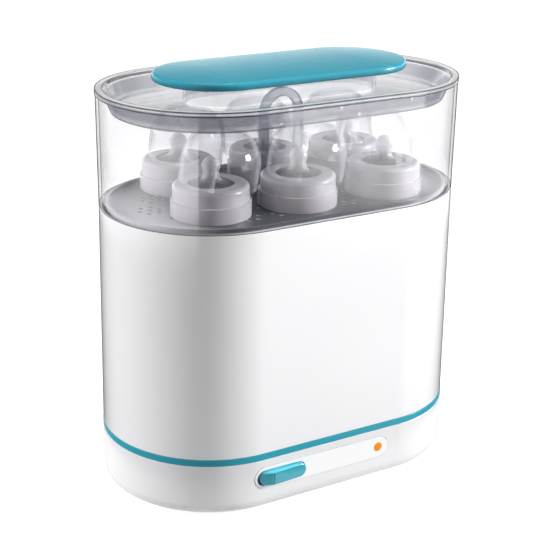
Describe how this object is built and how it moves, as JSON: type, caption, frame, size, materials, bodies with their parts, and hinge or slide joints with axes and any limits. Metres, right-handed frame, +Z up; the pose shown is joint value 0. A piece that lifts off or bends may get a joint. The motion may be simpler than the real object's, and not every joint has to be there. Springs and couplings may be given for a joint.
{
  "type": "bottle sterilizer",
  "caption": "Electric steam sterilizer for feeding bottles: oval heated base, white large basket, clear small basket with bottle tops, and a clear lid with a teal handle.",
  "frame": {"origin": "centre of the underside, on the plane that the rubber feet stand on", "axes": "+Z up, front with the lever and lamp towards -Y, +X to the right seen from the front"},
  "size_m": [0.3044, 0.186, 0.3371],
  "materials": {
    "white_plastic": "glossy white polypropylene",
    "teal_plastic": "glossy teal polypropylene",
    "clear_plastic": "clear moulded plastic",
    "ring_plastic": "satin white plastic",
    "silicone": "clear soft silicone",
    "grey_plastic": "satin grey plastic",
    "black_rubber": "matte rubber",
    "steel": "brushed",
    "ceramic": "matte",
    "dark_plastic": "matte",
    "amber_lens": "clear tinted",
    "lamp_glass": "clear"
  },
  "bodies": {
    "base": {"base_housing": "white_plastic", "bottom_cover": "white_plastic", "rubber_feet": "black_rubber", "cover_screws": "steel", "accent_ring": "teal_plastic", "heater_plate": "steel", "heater_seal": "black_rubber", "heating_element": "steel", "heater_clamp": "steel", "clamp_screws": "steel", "thermostat": "steel", "thermal_fuse": "ceramic", "control_panel": "white_plastic", "lever_pin": "steel", "switch_block": "dark_plastic", "indicator_lens": "amber_lens", "indicator_lamp": "lamp_glass", "terminal_block": "ceramic", "cord_gland": "black_rubber"},
    "lever": {"power_lever": "teal_plastic"},
    "large_basket": {"large_basket": "white_plastic", "bottle_grid": "white_plastic"},
    "small_basket": {"small_basket": "clear_plastic"},
    "plate": {"basket_plate": "grey_plastic", "plate_handle": "clear_plastic", "screw_ring_1": "ring_plastic", "screw_ring_2": "ring_plastic", "screw_ring_3": "ring_plastic", "screw_ring_4": "ring_plastic", "screw_ring_5": "ring_plastic", "screw_ring_6": "ring_plastic", "teat_1": "silicone", "teat_2": "silicone", "teat_3": "silicone", "teat_4": "silicone", "teat_5": "silicone", "teat_6": "silicone", "dome_cap_1": "clear_plastic", "dome_cap_2": "clear_plastic", "dome_cap_3": "clear_plastic", "dome_cap_4": "clear_plastic", "dome_cap_5": "clear_plastic", "dome_cap_6": "clear_plastic"},
    "lid": {"lid_shell": "clear_plastic", "lid_handle": "teal_plastic"}
  },
  "joints": [
    {"name": "lever_rock", "type": "hinge", "parent": "base", "child": "lever", "pos_m": [-0.0581, -0.0799, 0.0305], "axis": [0, 0, -1], "range_deg": [0, 6]},
    {"name": "large_basket_lift", "type": "slide", "parent": "base", "child": "large_basket", "axis": [0, 0, 1], "range_m": [0, 0.06]},
    {"name": "small_basket_lift", "type": "slide", "parent": "large_basket", "child": "small_basket", "axis": [0, 0, 1], "range_m": [0, 0.06]},
    {"name": "plate_lift", "type": "slide", "parent": "small_basket", "child": "plate", "axis": [0, 0, 1], "range_m": [0, 0.1]},
    {"name": "lid_lift", "type": "slide", "parent": "plate", "child": "lid", "axis": [0, 0, 1], "range_m": [0, 0.08]}
  ]
}
